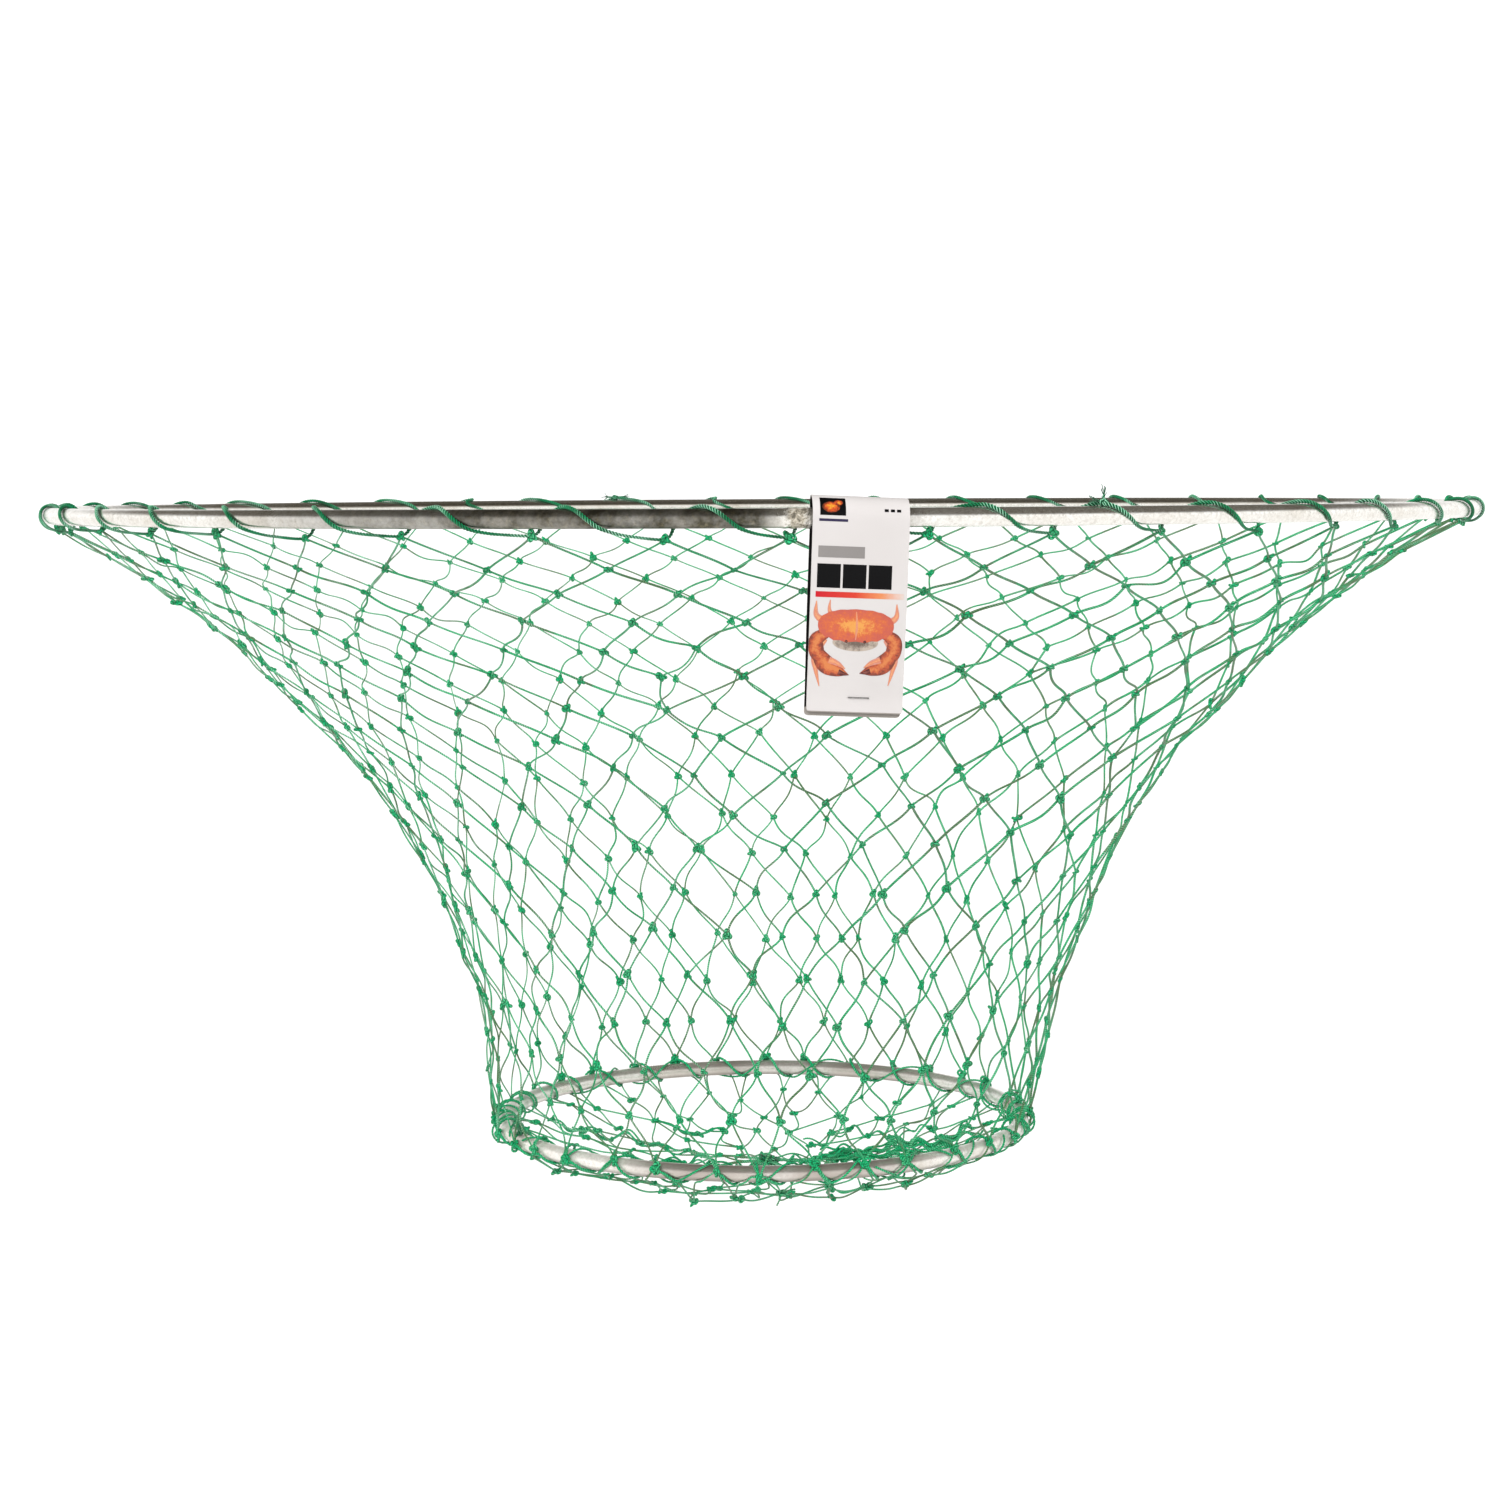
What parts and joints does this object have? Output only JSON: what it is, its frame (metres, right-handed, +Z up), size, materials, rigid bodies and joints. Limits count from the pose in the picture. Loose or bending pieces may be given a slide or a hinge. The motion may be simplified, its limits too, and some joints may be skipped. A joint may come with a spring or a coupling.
{
  "type": "folding crab trap",
  "caption": "Two-hoop folding crab trap: a wide steel hoop, a small steel hoop below it, a flared wall of knotted twine netting between them, and a sagging net floor.",
  "frame": {"origin": "centre of the upper hoop's plane, on the rod's centreline plane, where the held trap hangs from", "axes": "+Z up, square to both hoops; -Y is the front, where the header card hangs; +X to the right seen from the front"},
  "size_m": [0.8194, 0.8201, 0.4063],
  "materials": {
    "galvanised_rod": "dull galvanised",
    "net_twine": "twisted twine",
    "lashing_cord": "laid cord, slight sheen",
    "printed_card": "coated board, satin",
    "staple_wire": "bright wire"
  },
  "bodies": {
    "upper_hoop": {"upper_ring": "galvanised_rod", "head_lashing_1": "lashing_cord", "head_lashing_2": "lashing_cord", "head_tie_1": "lashing_cord", "head_tie_2": "lashing_cord", "net_wall_1": "net_twine"},
    "net_fold_2": {"net_wall_2": "net_twine"},
    "net_fold_3": {"net_wall_3": "net_twine"},
    "net_fold_4": {"net_wall_4": "net_twine"},
    "net_fold_5": {"net_wall_5": "net_twine"},
    "net_fold_6": {"net_wall_6": "net_twine"},
    "lower_hoop": {"lower_ring": "galvanised_rod", "foot_lashing": "lashing_cord", "foot_tie": "lashing_cord", "net_floor": "net_twine", "drawstring": "lashing_cord"},
    "card": {"header_card": "printed_card", "card_staple": "staple_wire"}
  },
  "joints": [
    {"name": "collapse", "type": "slide", "parent": "upper_hoop", "child": "net_fold_2", "axis": [0, 0, 1], "range_m": [0, 0.05933]},
    {"name": "collapse_2", "type": "slide", "parent": "net_fold_2", "child": "net_fold_3", "axis": [0, 0, 1], "range_m": [0, 0.05933]},
    {"name": "collapse_3", "type": "slide", "parent": "net_fold_3", "child": "net_fold_4", "axis": [0, 0, 1], "range_m": [0, 0.05933]},
    {"name": "collapse_4", "type": "slide", "parent": "net_fold_4", "child": "net_fold_5", "axis": [0, 0, 1], "range_m": [0, 0.05933]},
    {"name": "collapse_5", "type": "slide", "parent": "net_fold_5", "child": "net_fold_6", "axis": [0, 0, 1], "range_m": [0, 0.05933]},
    {"name": "collapse_6", "type": "slide", "parent": "net_fold_6", "child": "lower_hoop", "axis": [0, 0, 1], "range_m": [0, 0.05933]},
    {"name": "card_swing", "type": "hinge", "parent": "upper_hoop", "child": "card", "pos_m": [0.04411, -0.39957, 0], "axis": [-0.994, -0.1097, 0], "range_deg": [0, 90]}
  ],
  "couplings": [
    {"joint": "collapse_2", "follows": "collapse", "ratio": 1},
    {"joint": "collapse_3", "follows": "collapse", "ratio": 1},
    {"joint": "collapse_4", "follows": "collapse", "ratio": 1},
    {"joint": "collapse_5", "follows": "collapse", "ratio": 1},
    {"joint": "collapse_6", "follows": "collapse", "ratio": 1}
  ]
}
